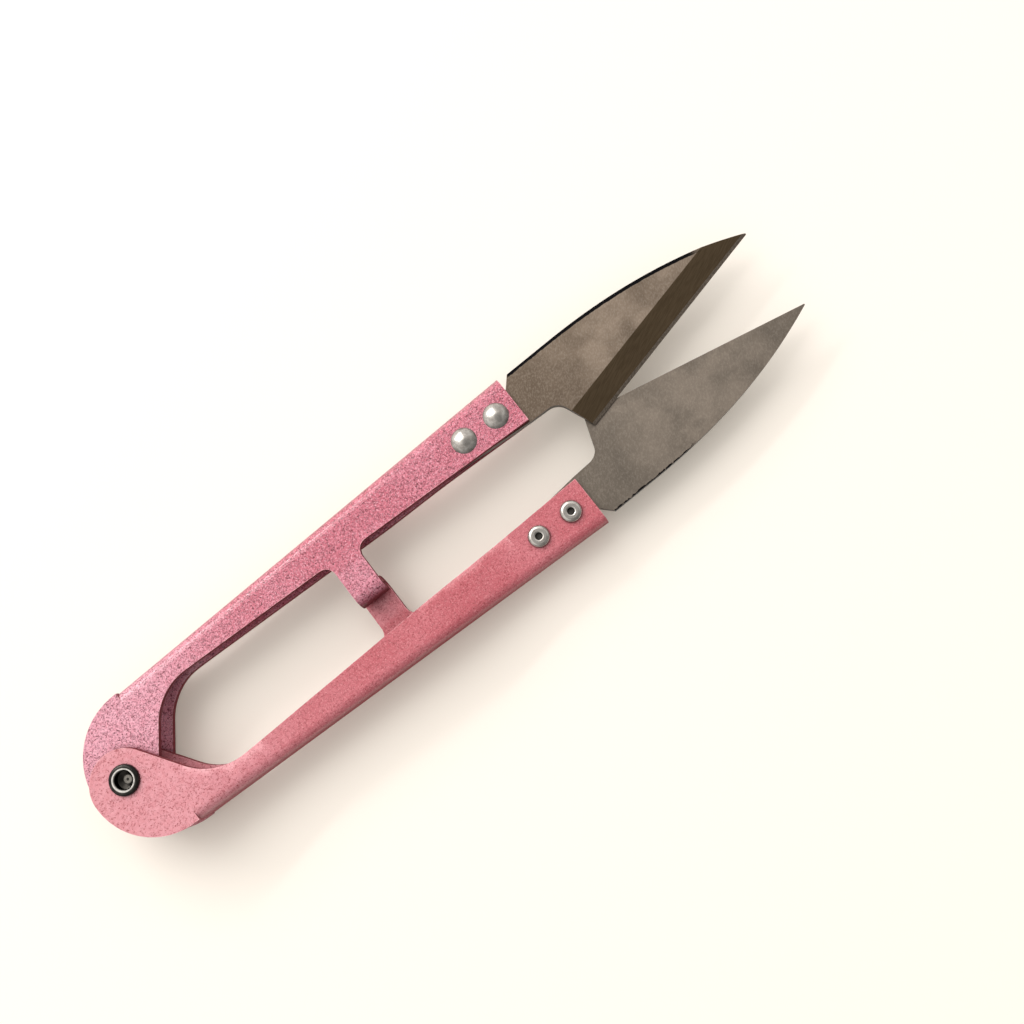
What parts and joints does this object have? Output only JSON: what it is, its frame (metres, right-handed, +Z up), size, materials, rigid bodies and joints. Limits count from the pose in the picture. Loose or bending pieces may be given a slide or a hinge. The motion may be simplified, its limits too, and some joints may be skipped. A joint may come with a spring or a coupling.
{
  "type": "thread snips",
  "caption": "Spring-opened thread snips with two channel-section steel handles on a rear pivot rivet, hooked stop tabs and riveted, single-bevel pointed blades.",
  "frame": {"origin": "on the pivot axis, at the flat underside of the pivot rivet's head, which the snips stand on", "axes": "+X along the middle line towards the tips, +Y towards the upper half, +Z up along the pivot axis"},
  "size_m": [0.1066, 0.0226, 0.008],
  "materials": {
    "handle_paint": "fine stippled powder coat with dark specks",
    "blade_steel": "satin, brushed",
    "dark_plating": "polished black nickel",
    "spring_wire": "drawn spring wire",
    "bright_rivet": "bright plated"
  },
  "bodies": {
    "lower_half": {"lower_handle": "handle_paint", "lower_blade": "blade_steel", "lower_rear_rivet": "bright_rivet", "lower_front_rivet": "bright_rivet", "pivot_rivet": "dark_plating", "torsion_spring": "spring_wire"},
    "upper_half": {"upper_handle": "handle_paint", "upper_blade": "blade_steel", "upper_rear_rivet": "bright_rivet", "upper_front_rivet": "bright_rivet"}
  },
  "joints": [
    {"name": "squeeze", "type": "hinge", "parent": "lower_half", "child": "upper_half", "pos_m": [0, 0, 0.0042], "axis": [0, 0, 1], "range_deg": [-6.2, 0], "stiffness_Nm_per_rad": 0.12, "springref_deg": 28.65, "deforming": ["torsion_spring"]}
  ]
}
